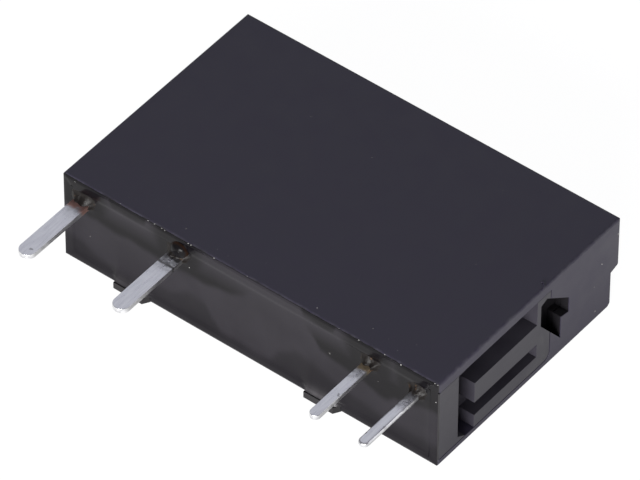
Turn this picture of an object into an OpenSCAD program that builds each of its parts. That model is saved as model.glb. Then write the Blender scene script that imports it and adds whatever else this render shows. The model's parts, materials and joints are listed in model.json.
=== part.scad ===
// Slim sealed power relay for a circuit board, with one normally open contact.
// A coil pulls the armature, the armature pushes a card, and the card bends the contact blade.
// Millimetres. X runs along the relay, Y across its thickness and Z up from the board.
// The origin is the middle of the pin row, on the board's surface.

/* [Pins] */
// Pitch between the two contact pins
contact_pitch = 5.08; // [4.8:0.02:5.4]
// Pitch between the inner contact pin and the inner coil pin
middle_pitch = 10.16; // [9.6:0.02:11.6]
// Pitch between the two coil pins
coil_pitch = 2.54; // [2.4:0.02:2.8]
// Width of a contact pin
contact_pin_w = 0.8; // [0.7:0.05:1]
// Width of a coil pin
coil_pin_w = 0.5; // [0.45:0.05:0.6]
// Length of a contact pin below the board's surface
contact_pin_l = 3.7; // [2.5:0.05:5]
// Length of a coil pin below the board's surface
coil_pin_l = 3.45; // [2.5:0.05:5]
// Thickness of the terminals' sheet metal
sheet_t = 0.25; // [0.2:0.01:0.3]
// Distance from the near face to the pins' near faces
pin_inset = 1; // [0.9:0.05:1.1]

/* [Cover] */
// Distance from an outer pin's middle to the end of the cover
end_margin = 1.11; // [1.1:0.01:1.4]
// Thickness of the relay
body_w = 4.85; // [4.7:0.05:5.6]
// Height of the cover from its lower edge to its top
body_h = 12.45; // [12:0.05:14]
// Thickness of the cover's near wall
near_wall = 0.5; // [0.4:0.02:0.55]
// Thickness of the cover's far wall
far_wall = 0.35; // [0.3:0.02:0.45]
// Thickness of the cover's end walls
end_wall = 0.45; // [0.35:0.02:0.5]
// Thickness of the cover's top
top_wall = 0.5; // [0.4:0.02:0.6]
// Rounding of the cover's outer edges
edge_r = 0.14; // [0.08:0.01:0.2]
// Drop of the lower half of the top
step_drop = 0.6; // [0.3:0.05:0.8]
// Distance from the near face to the step in the top
step_inset = 2.65; // [2.3:0.05:3]
// Run of the step's sloping face
step_slope = 0.19; // [0.1:0.01:0.3]
// Chamfer along the far edge of the top
far_chamfer = 0.24; // [0.15:0.01:0.32]
// Height of the cut-out that the base's end block fills
split_h = 7.65; // [7.3:0.05:8]
// Corner radius of the cut-out
split_r = 0.4; // [0.2:0.05:0.6]

/* [Feet] */
// Height of the feet under the cover
foot_h = 0.33; // [0.2:0.01:0.5]
// Length of a foot's flat tip
foot_l = 1.55; // [1.2:0.05:2.2]
// Run of the slope at a foot's end
foot_slope = 0.2; // [0.1:0.05:0.5]
// Place of the foot under the contacts
foot_contact_x = -6.3; // [-7:0.05:-5.5]
// Place of the foot under the coil
foot_coil_x = 3.95; // [3:0.05:5]

/* [Base and resin] */
// Depth of the resin's surface inside the cover's lower edge
resin_drop = 0.07; // [0.03:0.01:0.15]
// Thickness of the resin
resin_t = 0.7; // [0.5:0.05:0.9]
// Thickness of the base's plate
base_t = 0.9; // [0.7:0.05:1.1]
// Depth of the two long grooves in the end block
groove_depth = 0.8; // [0.7:0.02:0.85]
// Wall left behind the long grooves
groove_wall = 0.28; // [0.2:0.02:0.35]
// Height of the long grooves' upper ends above the cover's lower edge
groove_top_h = 6.7; // [6.3:0.05:6.9]
// Distance from the near face to the far side of the near groove
near_groove_end = 1.85; // [1.6:0.05:2.1]
// Distance from the near face to the near side of the far groove
far_groove_start = 3; // [2.7:0.05:3.2]
// Width of the far groove
far_groove_w = 0.75; // [0.5:0.05:0.9]
// Height of the cross groove's lower side above the cover's lower edge
cross_groove_h = 1.33; // [1.25:0.01:1.45]
// Width of the cross groove
cross_groove_w = 1.11; // [0.9:0.01:1.2]
// Depth of the cross groove in front of the outer pin; past the pin it's as deep as the long grooves
cross_groove_depth = 0.5; // [0.3:0.02:0.55]
// Distance from the far face to the cross groove's upper corner, which opens towards the cover's far wall
cross_groove_rim = 0.05; // [0:0.05:0.2]
// How much sooner the cross groove ends at its lower side
cross_groove_slant = 0.65; // [0.4:0.05:0.8]
// Depth of the notch across the parting line
notch_depth = 0.75; // [0.55:0.05:0.8]
// Height of the lip that stands behind the cover's end wall
lip_h = 1.8; // [1.6:0.05:2.2]
// Thickness of the insulating barrier between contacts and magnet
barrier_t = 0.4; // [0.3:0.02:0.5]

/* [Magnet] */
// Height of the bobbin's flanges
flange_h = 5.1; // [4.6:0.05:5.4]
// Thickness of the bobbin's front flange
front_flange_t = 0.5; // [0.4:0.02:0.7]
// Wall of the bobbin's barrel
barrel_wall = 0.27; // [0.2:0.01:0.35]
// Space between the bobbin's flanges and the cover's walls
flange_side = 0.15; // [0.1:0.01:0.25]
// Depth of the winding's surface inside the flanges' sides
winding_inset = 0.1; // [0.05:0.01:0.2]
// Outside diameter of the winding over the outside diameter of the barrel
winding_ratio = 1.5; // [1.4:0.02:1.6]
// Diameter of the pole face
pole_d = 2.8; // [2.2:0.05:3.2]
// Thickness of the pole head
pole_t = 0.5; // [0.3:0.05:0.7]
// Diameter of the core's riveted end
stake_d = 1.2; // [0.9:0.05:1.3]
// Thickness of the yoke's long leg
yoke_t = 0.9; // [0.7:0.05:1]
// Thickness of the yoke's short leg
yoke_leg_t = 0.65; // [0.5:0.05:0.8]
// Space between the yoke's sides and the cover's walls
yoke_side = 0.3; // [0.2:0.02:0.4]
// Thickness of the armature
armature_t = 0.8; // [0.6:0.05:0.9]
// Depth to which the yoke's edge enters the armature
armature_seat = 0.25; // [0.15:0.01:0.3]
// Angle between the open and the pulled-in armature
open_deg = 9; // [6:0.5:10]
// Width of the armature's tongue in the card
tongue_w = 1.4; // [1:0.05:1.6]
// Thickness of the hinge spring
spring_t = 0.12; // [0.08:0.01:0.15]
// Width of the hinge spring
spring_w = 1.4; // [1:0.05:1.6]
// Reach of the hinge spring along the yoke
spring_reach = 3.4; // [2.8:0.1:4]

/* [Contacts] */
// Space between the card and the cover's lower ceiling
card_room = 0.75; // [0.5:0.05:1]
// Thickness of the card
card_t = 0.7; // [0.5:0.05:0.9]
// Width of the card
card_w = 2.4; // [2:0.05:2.6]
// Thickness of the contact blade
blade_t = 0.12; // [0.08:0.01:0.15]
// Width of the contact blade
blade_w = 3; // [2.6:0.05:3.2]
// Height of the blade's rivets above the base's plate
root_rise = 0.8; // [0.7:0.05:1]
// Diameter of the blade's rivets
rivet_d = 0.7; // [0.5:0.05:0.8]
// Diameter of the blade rivets' heads
rivet_head_d = 1.15; // [1:0.05:1.2]
// Distance between the blade's rivets
rivet_pitch = 1.6; // [1.4:0.05:1.8]
// Diameter of the contacts' heads
contact_d = 2; // [1.6:0.05:2.2]
// Thickness of the contacts' heads
contact_t = 0.45; // [0.35:0.02:0.55]
// Rise of the moving contact's domed face
dome_rise = 0.12; // [0.05:0.01:0.15]
// Diameter of the contacts' shanks
shank_d = 0.9; // [0.7:0.05:1]
// Diameter of the lead wire
wire_d = 0.12; // [0.08:0.01:0.14]

/* [Hidden] */
$fn = 64;

// Clearances: face gaps, running gaps and the room that a cut needs past a surface
fit_gap = 0.05;
leg_gap = 0.03;
run_gap = 0.03;
seat_gap = 0.02;
over = 1;

// Places along X of the pins and of the relay's ends
pin_span = contact_pitch + middle_pitch + coil_pitch;
fixed_pin_x = -pin_span / 2;
common_pin_x = fixed_pin_x + contact_pitch;
coil_pin_a_x = common_pin_x + middle_pitch;
coil_pin_b_x = pin_span / 2;
end_x = pin_span / 2 + end_margin;

// Faces across the thickness
near_y = -pin_inset - sheet_t / 2;
far_y = near_y + body_w;
in_near_y = near_y + near_wall;
in_far_y = far_y - far_wall;
mid_y = (in_near_y + in_far_y) / 2;
cavity_w = in_far_y - in_near_y;

// Levels of the case
rim_z = foot_h;
top_z = rim_z + body_h;
ceiling_z = top_z - step_drop - top_wall;
resin_z = rim_z + resin_drop;
plate_z = resin_z + resin_t;
deck_z = plate_z + base_t;
split_z = rim_z + split_h;

// End block of the base
block_x = end_x - groove_depth - groove_wall;
pin_wall = 0.15;
deep_groove_y = sheet_t / 2 + leg_gap + pin_wall;
cross_low_z = rim_z + cross_groove_h;
cross_turn_z = cross_low_z + cross_groove_w;
cross_end_y = far_y - cross_groove_rim;
lip_x = end_x - end_wall;
notch_side_h = 6.95;
notch_mid_h = 8.38;
notch_end_h = 8.93;
notch = [
    [0.95, notch_side_h], [0.78, 7.35], [1.96, notch_end_h], [2.8, notch_end_h],
    [2.7, notch_mid_h], [3.95, notch_mid_h], [2.13, notch_side_h]
];

// Magnet: the yoke's rounded end is the armature's pivot
coil_z = deck_z + flange_h / 2;
flange_w = cavity_w - 2 * flange_side;
coil_d = flange_w - 2 * winding_inset;
barrel_d = coil_d / winding_ratio;
core_d = barrel_d - 2 * barrel_wall - 2 * run_gap;
yoke_w = cavity_w - 2 * yoke_side;
yoke_z = deck_z + flange_h + fit_gap;
yoke_top_z = yoke_z + yoke_t;
yoke_back_x = block_x - fit_gap;
yoke_leg_x = yoke_back_x - yoke_leg_t;
stake_margin = 0.9;
yoke_leg_low_z = coil_z - stake_d / 2 - stake_margin;
yoke_bend_r = 0.6;
nose_r = yoke_t / 2;
pivot_z = yoke_z + nose_r;
armature_side = 0.1;
armature_w = yoke_w - 2 * armature_side;
armature_face = nose_r - armature_seat;
armature_back = armature_face + armature_t;
armature_low = pivot_z - coil_z + pole_d / 2;

// Contact side: common plate, blade and barrier follow the inner contact pin
plate_x = common_pin_x - contact_pin_w / 2;
blade_gap = 0.05;
rivet_head_t = 0.2;
blade_x = plate_x - blade_gap - blade_t;
barrier_gap = 0.1;
barrier_x = plate_x + sheet_t + rivet_head_t + barrier_gap;
swing = armature_back * cos(open_deg) + armature_low * sin(open_deg);
pivot_x = barrier_x + barrier_t + barrier_gap + swing;
pole_x = pivot_x - armature_face + run_gap;
neck_drop = 0.5;
window_gap = 0.2;
spring_tip = 0.25;
spring_bend_r = 0.3;
rivet_end = 0.9;
hinge_rivet_x = pivot_x + spring_reach - rivet_end;
front_flange_x = pole_x + pole_t + seat_gap;
winding_x = front_flange_x + front_flange_t;
pocket_room = 0.2;
pocket_wall = 0.3;
pocket_roof = 0.4;
pocket_x = coil_pin_a_x - coil_pin_w / 2 - pocket_room;
rear_flange_x = pocket_x - pocket_wall;
rear_flange_end = yoke_leg_x - seat_gap;

// Card: its level, its lever over the pivot and its travel
card_top_z = ceiling_z - card_room;
card_z = card_top_z - card_t;
card_lever = (card_z + card_top_z) / 2 - pivot_z;
card_travel = card_lever * open_deg * PI / 180;
tongue_rise = 0.2;
tongue_top = card_top_z + tongue_rise - pivot_z;
function tilted_x(x, z) = x / cos(open_deg) + z * tan(open_deg);
card_hole_x0 = pivot_x - run_gap
    + min(tilted_x(-armature_back, card_z - pivot_z), card_travel - armature_back);
arc_gap = 0.015;
card_hole_x1 = pivot_x + run_gap + arc_gap
    + max(tilted_x(-armature_face, card_top_z - pivot_z), card_travel - armature_face);
card_x0 = plate_x - blade_gap + fit_gap;
card_end = 0.5;
card_x1 = card_hole_x1 + card_end;

// Contacts: the gap is what the card's travel closes
root_margin = 0.1;
blade_rise = 0.1;
contact_drop = 0.25;
shank_flange = 0.2;
shank_head_t = 0.15;
bend_inner_r = 0.1;
wing_h = 2.6;
plate_rim = 0.2;
root_z = deck_z + root_rise;
root_low_z = root_z - rivet_head_d / 2 - root_margin;
plate_top_z = root_z + rivet_head_d / 2 + root_margin;
blade_top_z = card_top_z + blade_rise;
contact_z = card_z - contact_drop - shank_flange - shank_d / 2;
blade_turn = card_travel / ((card_z + card_top_z) / 2 - root_z);
contact_gap = (contact_z - root_z) * blade_turn + run_gap;
fixed_face_x = blade_x - 2 * contact_t - contact_gap;
fixed_plate_x = fixed_face_x - sheet_t;

// Coil terminals: posts for the winding's ends
post_w = 0.4;
arm_h = 0.4;
post_pitch = 1.25;
post_tip = 0.4;
lead_a_rise = 1;
lead_b_drop = 0.7;
wrap_h = 0.4;
wrap_gap = 0.01;
wrap_r = norm([post_w, sheet_t]) / 2 + wrap_gap;
post_b_x = coil_pin_a_x + post_pitch;
lead_a_z = coil_z + lead_a_rise;
lead_b_z = coil_z - lead_b_drop;
lead_b_y = -sheet_t / 2 - wire_d / 2 - leg_gap;
post_a_top_z = lead_a_z + wrap_h / 2 + post_tip;
post_b_top_z = lead_b_z + wrap_h / 2 + post_tip;

// A rectangle with round corners
module round_rect(w, h, r) {
    translate([r, 0]) square([w - 2 * r, h]);
    translate([0, r]) square([w, h - 2 * r]);
    for (x = [r, w - r], y = [r, h - r]) translate([x, y]) circle(r);
}

// A block between two corners
module block(from, to) {
    translate(from) cube(to - from);
}

// An outline in X and Z, given a thickness along Y around a middle
module upright(w, y) {
    translate([0, y + w / 2, 0]) rotate([90, 0, 0]) linear_extrude(w) children();
}

// An outline in Y and Z, given a length along X
module along_x(x0, x1) {
    translate([x0, 0, 0]) rotate([90, 0, 90]) linear_extrude(x1 - x0) children();
}

// A rod along X
module rod(x0, x1, d, y, z) {
    translate([x0, y, z]) rotate([0, 90, 0]) cylinder(h = x1 - x0, d = d);
}

// Outline of a flat pin with a round tip, from its tip up to a level
module pin_outline(x, w, l, top) {
    translate([x - w / 2, w / 2 - l]) square([w, top + l - w / 2]);
    translate([x, w / 2 - l]) circle(d = w);
}

// The stepped end view of the cover, sharp on the step and round at the other corners
module cover_end_view() {
    step_z = top_z - step_drop;
    difference() {
        translate([near_y, rim_z]) round_rect(body_w, body_h, edge_r);
        polygon([
            [near_y + step_inset, top_z + over], [near_y + step_inset, top_z],
            [near_y + step_inset + step_slope, step_z], [far_y - far_chamfer, step_z],
            [far_y, step_z - far_chamfer], [far_y + over, step_z - far_chamfer],
            [far_y + over, top_z + over]
        ]);
    }
}

// The room inside the cover, seen from its end
module cavity_end_view() {
    inner_step_y = near_y + step_inset - top_wall;
    polygon([
        [in_near_y, -over], [in_far_y, -over], [in_far_y, ceiling_z - far_chamfer],
        [in_far_y - far_chamfer, ceiling_z], [inner_step_y + step_slope, ceiling_z],
        [inner_step_y, top_z - top_wall], [in_near_y, top_z - top_wall]
    ]);
}

// The end block's outline, tight on its near side, or with no gap the cut-out that it fills
module split_outline(gap, low_z) {
    far = in_far_y - gap;
    near = in_near_y + min(gap, seat_gap);
    high_z = split_z - gap;
    translate([near, low_z]) square([far - near - split_r, high_z - low_z]);
    translate([near, low_z]) square([far - near, high_z - low_z - split_r]);
    translate([far - split_r, high_z - split_r]) circle(split_r);
}

// The notch that crosses the parting line, cut to its depth
module notch_cut() {
    along_x(end_x - notch_depth, end_x + over)
        translate([near_y, rim_z]) polygon(notch);
}

// A foot in the plane of the far wall, sloped at its end
module foot(x) {
    upright(far_wall, far_y - far_wall / 2) polygon([
        [x - foot_l / 2, 0], [x + foot_l / 2, 0], [x + foot_l / 2 + foot_slope, rim_z],
        [x + foot_l / 2 + foot_slope, rim_z + edge_r], [x - foot_l / 2, rim_z + edge_r]
    ]);
}

module cover() {
    color([0.13, 0.13, 0.15]) {
        difference() {
            intersection() {
                along_x(-end_x, end_x) cover_end_view();
                translate([-end_x, near_y, 0]) linear_extrude(top_z + over)
                    round_rect(2 * end_x, body_w, edge_r);
                upright(2 * body_w, mid_y) translate([-end_x, rim_z])
                    round_rect(2 * end_x, body_h, edge_r);
            }
            along_x(-end_x + end_wall, end_x - end_wall) cavity_end_view();
            along_x(end_x - end_wall - seat_gap, end_x + over) split_outline(0, -over);
            notch_cut();
        }
        foot(foot_contact_x);
        foot(foot_coil_x);
    }
}

// The cross groove from one place across the block to its slanted far end
module cross_groove(depth, start_y) {
    along_x(end_x - depth, end_x + over) polygon([
        [start_y, cross_low_z], [cross_end_y - cross_groove_slant, cross_low_z],
        [cross_end_y, cross_turn_z], [start_y, cross_turn_z]
    ]);
}

// The three grooves that show in the base's end block
module end_grooves() {
    high_z = rim_z + groove_top_h;
    floor_x = end_x - groove_depth;
    block([floor_x, near_y, cross_turn_z], [end_x + over, near_y + near_groove_end, high_z]);
    block([floor_x, near_y + far_groove_start, cross_low_z],
          [end_x + over, near_y + far_groove_start + far_groove_w, high_z]);
    cross_groove(cross_groove_depth, near_y);
    cross_groove(groove_depth, deep_groove_y);
}

// Slot in the base's plate for one pin
module pin_slot(x, w) {
    block([x - w / 2 - leg_gap, -sheet_t / 2 - leg_gap, plate_z - over],
          [x + w / 2 + leg_gap, sheet_t / 2 + leg_gap, deck_z + seat_gap]);
}

// Wall between contacts and magnet, with the notch in its top that guides the card
module barrier() {
    difference() {
        block([barrier_x, in_near_y + fit_gap, plate_z],
              [barrier_x + barrier_t, in_far_y - fit_gap, card_top_z]);
        block([barrier_x - over, mid_y - card_w / 2 - fit_gap, card_z - run_gap],
              [barrier_x + barrier_t + over, mid_y + card_w / 2 + fit_gap, card_top_z + over]);
    }
}

// Post that stands behind the fixed contact's plate
module contact_post() {
    block([fixed_plate_x - fit_gap - barrier_t, mid_y + contact_d / 2, plate_z],
          [fixed_plate_x - fit_gap, in_far_y - fit_gap, contact_z]);
}

module base() {
    color([0.16, 0.16, 0.17]) difference() {
        union() {
            block([-end_x + end_wall + fit_gap, in_near_y + fit_gap, plate_z],
                  [end_x - seat_gap, in_far_y - fit_gap, deck_z]);
            along_x(block_x, end_x) split_outline(fit_gap, plate_z);
            along_x(lip_x, end_x) split_outline(fit_gap, rim_z);
            block([block_x, in_near_y + fit_gap, split_z - over],
                  [lip_x - fit_gap, in_far_y - fit_gap, split_z + lip_h]);
            barrier();
            contact_post();
        }
        end_grooves();
        notch_cut();
        pin_slot(fixed_pin_x, contact_pin_w);
        pin_slot(common_pin_x, contact_pin_w);
        pin_slot(coil_pin_a_x, coil_pin_w);
        pin_slot(coil_pin_b_x, coil_pin_w);
        block([block_x - over, -sheet_t / 2 - leg_gap, deck_z],
              [coil_pin_b_x + coil_pin_w / 2 + leg_gap, sheet_t / 2 + leg_gap, deck_z + arm_h + leg_gap]);
    }
}

module resin_seal() {
    color([0.1, 0.1, 0.11]) difference() {
        block([-end_x + end_wall, in_near_y, resin_z], [lip_x, in_far_y, plate_z]);
        for (x = [fixed_pin_x, common_pin_x])
            block([x - contact_pin_w / 2, -sheet_t / 2, 0], [x + contact_pin_w / 2, sheet_t / 2, deck_z]);
        for (x = [coil_pin_a_x, coil_pin_b_x])
            block([x - coil_pin_w / 2, -sheet_t / 2, 0], [x + coil_pin_w / 2, sheet_t / 2, deck_z]);
    }
}

module fixed_terminal() {
    bend_r = sheet_t + bend_inner_r;
    bend_y = bend_r - sheet_t / 2;
    wing_z = deck_z + wing_h;
    color([0.78, 0.76, 0.72]) difference() {
        union() {
            upright(sheet_t, 0) pin_outline(fixed_pin_x, contact_pin_w, contact_pin_l, deck_z);
            block([fixed_pin_x - contact_pin_w / 2, -sheet_t / 2, deck_z],
                  [fixed_face_x - bend_r, sheet_t / 2, wing_z]);
            translate([fixed_face_x - bend_r, bend_y, deck_z]) linear_extrude(wing_z - deck_z)
                intersection() {
                    difference() {
                        circle(bend_r);
                        circle(bend_r - sheet_t);
                    }
                    translate([0, -bend_r]) square(bend_r);
                }
            block([fixed_plate_x, bend_y, deck_z],
                  [fixed_face_x, mid_y + blade_w / 2, contact_z + contact_d / 2 + plate_rim]);
        }
        rod(fixed_plate_x - over, fixed_face_x + over, shank_d, mid_y, contact_z);
    }
}

module fixed_contact() {
    color([0.85, 0.85, 0.83]) {
        rod(fixed_face_x, fixed_face_x + contact_t, contact_d, mid_y, contact_z);
        rod(fixed_plate_x - shank_head_t, fixed_face_x + seat_gap, shank_d, mid_y, contact_z);
        rod(fixed_plate_x - shank_head_t, fixed_plate_x, shank_d + 2 * shank_flange, mid_y, contact_z);
    }
}

module common_terminal() {
    color([0.78, 0.76, 0.72]) difference() {
        union() {
            upright(sheet_t, 0) pin_outline(common_pin_x, contact_pin_w, contact_pin_l, deck_z);
            block([plate_x, -sheet_t / 2, deck_z], [plate_x + sheet_t, mid_y + blade_w / 2, plate_top_z]);
        }
        for (side = [-1, 1])
            rod(plate_x - over, plate_x + sheet_t + over, rivet_d, mid_y + side * rivet_pitch / 2, root_z);
    }
}

module contact_blade() {
    color([0.8, 0.55, 0.35]) difference() {
        block([blade_x, mid_y - blade_w / 2, root_low_z],
              [blade_x + blade_t, mid_y + blade_w / 2, blade_top_z]);
        rod(blade_x - over, blade_x + blade_t + over, shank_d, mid_y, contact_z);
        for (side = [-1, 1])
            rod(blade_x - over, blade_x + blade_t + over, rivet_d + 2 * leg_gap,
                mid_y + side * rivet_pitch / 2, root_z);
    }
}

module moving_contact() {
    dome_r = (pow(contact_d / 2, 2) + pow(dome_rise, 2)) / (2 * dome_rise);
    face_x = blade_x - contact_t;
    color([0.85, 0.85, 0.83]) {
        intersection() {
            rod(face_x, blade_x, contact_d, mid_y, contact_z);
            translate([face_x + dome_r, mid_y, contact_z]) sphere(dome_r, $fn = 240);
        }
        rod(blade_x - seat_gap, blade_x + blade_t + shank_head_t, shank_d, mid_y, contact_z);
        rod(blade_x + blade_t, blade_x + blade_t + shank_head_t, shank_d + 2 * shank_flange,
            mid_y, contact_z);
    }
}

module blade_rivets() {
    head_x = blade_x - blade_gap;
    back_x = plate_x + sheet_t;
    color([0.75, 0.75, 0.73]) for (side = [-1, 1]) {
        y = mid_y + side * rivet_pitch / 2;
        rod(head_x - rivet_head_t, head_x, rivet_head_d, y, root_z);
        rod(head_x - seat_gap, back_x + rivet_head_t, rivet_d, y, root_z);
        rod(back_x, back_x + rivet_head_t, rivet_head_d, y, root_z);
    }
}

module actuator_card() {
    hole_w = tongue_w + 2 * fit_gap;
    color([0.9, 0.88, 0.82]) difference() {
        block([card_x0, mid_y - card_w / 2, card_z], [card_x1, mid_y + card_w / 2, card_top_z]);
        block([card_hole_x0, mid_y - hole_w / 2, card_z - over],
              [card_hole_x1, mid_y + hole_w / 2, card_top_z + over]);
    }
}

// The armature hangs on the pivot, tilted open; its shape is drawn pulled in, around the pivot
module armature() {
    neck_z = card_z - pivot_z - neck_drop;
    window_w = spring_w + 2 * window_gap;
    window_low = nose_r - window_gap;
    window_high = nose_r + spring_t + window_gap;
    color([0.6, 0.6, 0.62]) translate([pivot_x, 0, pivot_z]) rotate([0, open_deg, 0]) difference() {
        union() {
            block([-armature_back, mid_y - armature_w / 2, -armature_low],
                  [-armature_face, mid_y + armature_w / 2, neck_z]);
            block([-armature_back, mid_y - tongue_w / 2, -armature_low],
                  [-armature_face, mid_y + tongue_w / 2, tongue_top]);
        }
        upright(armature_w + over, mid_y) circle(nose_r + run_gap);
        block([-armature_back - over, mid_y - window_w / 2, window_low],
              [over, mid_y + window_w / 2, window_high]);
    }
}

module hinge_spring() {
    back_x = -armature_back / cos(open_deg) - spring_tip * tan(open_deg) - run_gap;
    bend_r = spring_bend_r;
    color([0.75, 0.6, 0.4]) difference() {
        translate([pivot_x, 0, pivot_z]) upright(spring_w, mid_y) {
            translate([back_x - spring_t + bend_r, nose_r])
                square([spring_reach - back_x + spring_t - bend_r, spring_t]);
            translate([back_x - spring_t, -spring_tip])
                square([spring_t, nose_r + spring_t - bend_r + spring_tip]);
            translate([back_x - spring_t + bend_r, nose_r + spring_t - bend_r]) intersection() {
                difference() {
                    circle(bend_r);
                    circle(bend_r - spring_t);
                }
                translate([-bend_r, 0]) square(bend_r);
            }
        }
        hinge_rivet_shank(seat_gap);
    }
}

// Shank of the rivet that holds the hinge spring, or with a gap the hole for it
module hinge_rivet_shank(gap) {
    translate([hinge_rivet_x, mid_y, yoke_z])
        cylinder(h = yoke_t + spring_t + seat_gap, d = rivet_d + 2 * gap);
}

module hinge_rivet() {
    color([0.75, 0.75, 0.73]) {
        hinge_rivet_shank(0);
        translate([hinge_rivet_x, mid_y, yoke_top_z + spring_t])
            cylinder(h = rivet_head_t, d = rivet_head_d);
    }
}

module yoke() {
    color([0.55, 0.55, 0.57]) difference() {
        upright(yoke_w, mid_y) {
            translate([pivot_x, yoke_z]) square([yoke_back_x - yoke_bend_r - pivot_x, yoke_t]);
            translate([pivot_x, pivot_z]) circle(nose_r);
            translate([yoke_leg_x, yoke_leg_low_z])
                square([yoke_leg_t, yoke_top_z - yoke_bend_r - yoke_leg_low_z]);
            translate([yoke_back_x - yoke_bend_r, yoke_top_z - yoke_bend_r]) intersection() {
                circle(yoke_bend_r);
                square(yoke_bend_r);
            }
        }
        rod(yoke_leg_x - over, yoke_back_x + over, stake_d + 2 * seat_gap, mid_y, coil_z);
        translate([0, 0, -over]) hinge_rivet_shank(seat_gap);
        hinge_rivet_shank(seat_gap);
    }
}

module core() {
    color([0.6, 0.6, 0.62]) {
        rod(pole_x, pole_x + pole_t, pole_d, mid_y, coil_z);
        rod(pole_x, yoke_leg_x, core_d, mid_y, coil_z);
        rod(yoke_leg_x - seat_gap, yoke_back_x, stake_d, mid_y, coil_z);
    }
}

// Room in the bobbin for the wrap of a lead on its post
module wrap_room(x, z) {
    translate([x, 0, z - wrap_h / 2 - leg_gap])
        cylinder(h = wrap_h + 2 * leg_gap, r = wrap_r + wire_d + leg_gap);
}

module bobbin() {
    low_y = mid_y - flange_w / 2;
    high_y = mid_y + flange_w / 2;
    color([0.2, 0.2, 0.22]) difference() {
        union() {
            block([front_flange_x, low_y, deck_z], [winding_x, high_y, deck_z + flange_h]);
            rod(winding_x - seat_gap, rear_flange_x + seat_gap, barrel_d, mid_y, coil_z);
            block([rear_flange_x, low_y, deck_z], [rear_flange_end, high_y, deck_z + flange_h]);
        }
        rod(front_flange_x - over, rear_flange_end + over, core_d + 2 * run_gap, mid_y, coil_z);
        block([pocket_x, low_y - over, deck_z - over],
              [rear_flange_end + over, sheet_t / 2 + leg_gap, deck_z + flange_h - pocket_roof]);
        block([rear_flange_x - over, low_y - over, lead_b_z - wrap_h / 2],
              [pocket_x + over, sheet_t / 2 + leg_gap, lead_a_z + wrap_h / 2]);
        wrap_room(coil_pin_a_x, lead_a_z);
        wrap_room(post_b_x, lead_b_z);
    }
}

module coil_winding() {
    color([0.7, 0.38, 0.2]) difference() {
        rod(winding_x + seat_gap, rear_flange_x - seat_gap, coil_d, mid_y, coil_z);
        rod(winding_x - over, rear_flange_x + over, barrel_d + 2 * seat_gap, mid_y, coil_z);
    }
}

module coil_terminal_a() {
    color([0.8, 0.8, 0.78]) upright(sheet_t, 0) {
        pin_outline(coil_pin_a_x, coil_pin_w, coil_pin_l, deck_z);
        translate([coil_pin_a_x - post_w / 2, deck_z]) square([post_w, post_a_top_z - deck_z]);
    }
}

module coil_terminal_b() {
    arm_x = post_b_x - post_w / 2;
    color([0.8, 0.8, 0.78]) upright(sheet_t, 0) {
        pin_outline(coil_pin_b_x, coil_pin_w, coil_pin_l, deck_z + arm_h);
        translate([arm_x, deck_z]) square([coil_pin_b_x + coil_pin_w / 2 - arm_x, arm_h]);
        translate([arm_x, deck_z]) square([post_w, post_b_top_z - deck_z]);
    }
}

// A winding's end: a run along the coil's axis and a wrap around its post
module coil_lead(post_x, y, z) {
    color([0.72, 0.4, 0.22]) difference() {
        union() {
            rod(rear_flange_x - seat_gap, post_x, wire_d, y, z);
            translate([post_x, 0, z - wrap_h / 2]) cylinder(h = wrap_h, r = wrap_r + wire_d);
        }
        translate([post_x, 0, z - wrap_h]) cylinder(h = 2 * wrap_h, r = wrap_r);
    }
}

module coil_lead_a() {
    coil_lead(coil_pin_a_x, 0, lead_a_z);
}

module coil_lead_b() {
    coil_lead(post_b_x, lead_b_y, lead_b_z);
}

cover();
base();
resin_seal();
fixed_terminal();
fixed_contact();
common_terminal();
contact_blade();
moving_contact();
blade_rivets();
actuator_card();
armature();
hinge_spring();
hinge_rivet();
yoke();
core();
bobbin();
coil_winding();
coil_terminal_a();
coil_terminal_b();
coil_lead_a();
coil_lead_b();
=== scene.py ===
import json
import math

import bmesh
import bpy
from mathutils import Matrix, Vector, noise


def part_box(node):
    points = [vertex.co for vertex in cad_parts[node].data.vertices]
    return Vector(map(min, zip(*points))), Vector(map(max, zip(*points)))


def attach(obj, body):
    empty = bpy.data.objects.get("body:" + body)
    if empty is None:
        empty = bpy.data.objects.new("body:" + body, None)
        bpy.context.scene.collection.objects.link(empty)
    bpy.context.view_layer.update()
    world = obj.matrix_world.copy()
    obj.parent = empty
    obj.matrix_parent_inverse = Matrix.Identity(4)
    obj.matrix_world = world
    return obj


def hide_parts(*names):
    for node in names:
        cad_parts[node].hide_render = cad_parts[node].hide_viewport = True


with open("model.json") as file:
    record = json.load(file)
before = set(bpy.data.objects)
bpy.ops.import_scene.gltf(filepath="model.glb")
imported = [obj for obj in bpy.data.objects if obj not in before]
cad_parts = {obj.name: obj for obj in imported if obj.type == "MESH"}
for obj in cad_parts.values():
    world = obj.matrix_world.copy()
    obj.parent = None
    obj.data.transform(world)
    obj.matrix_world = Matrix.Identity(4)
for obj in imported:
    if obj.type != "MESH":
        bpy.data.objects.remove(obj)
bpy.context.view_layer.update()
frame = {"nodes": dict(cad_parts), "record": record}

MM = 0.001
SLOT = {part["node"]: part["material_slot"] for part in frame["record"]["subparts"]}

# Places read from the solids
COVER_LOW, COVER_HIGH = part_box("cover")
RESIN_LOW, RESIN_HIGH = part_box("resin_seal")
WINDING_LOW, WINDING_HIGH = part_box("coil_winding")
RIM_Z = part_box("base")[0].z
PIN_NODES = ["fixed_terminal", "common_terminal", "coil_terminal_a", "coil_terminal_b"]

# The notch in the end face, where shade is painted: two corners of a box around it, from the face's near
# lower corner
END_CORNER = Vector((COVER_HIGH.x, COVER_LOW.y, RIM_Z))
NOTCH_LOW = END_CORNER + Vector((-0.85, 0.7, 6.9)) * MM
NOTCH_HIGH = END_CORNER + Vector((-0.04, 4.0, 9.0)) * MM

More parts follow.
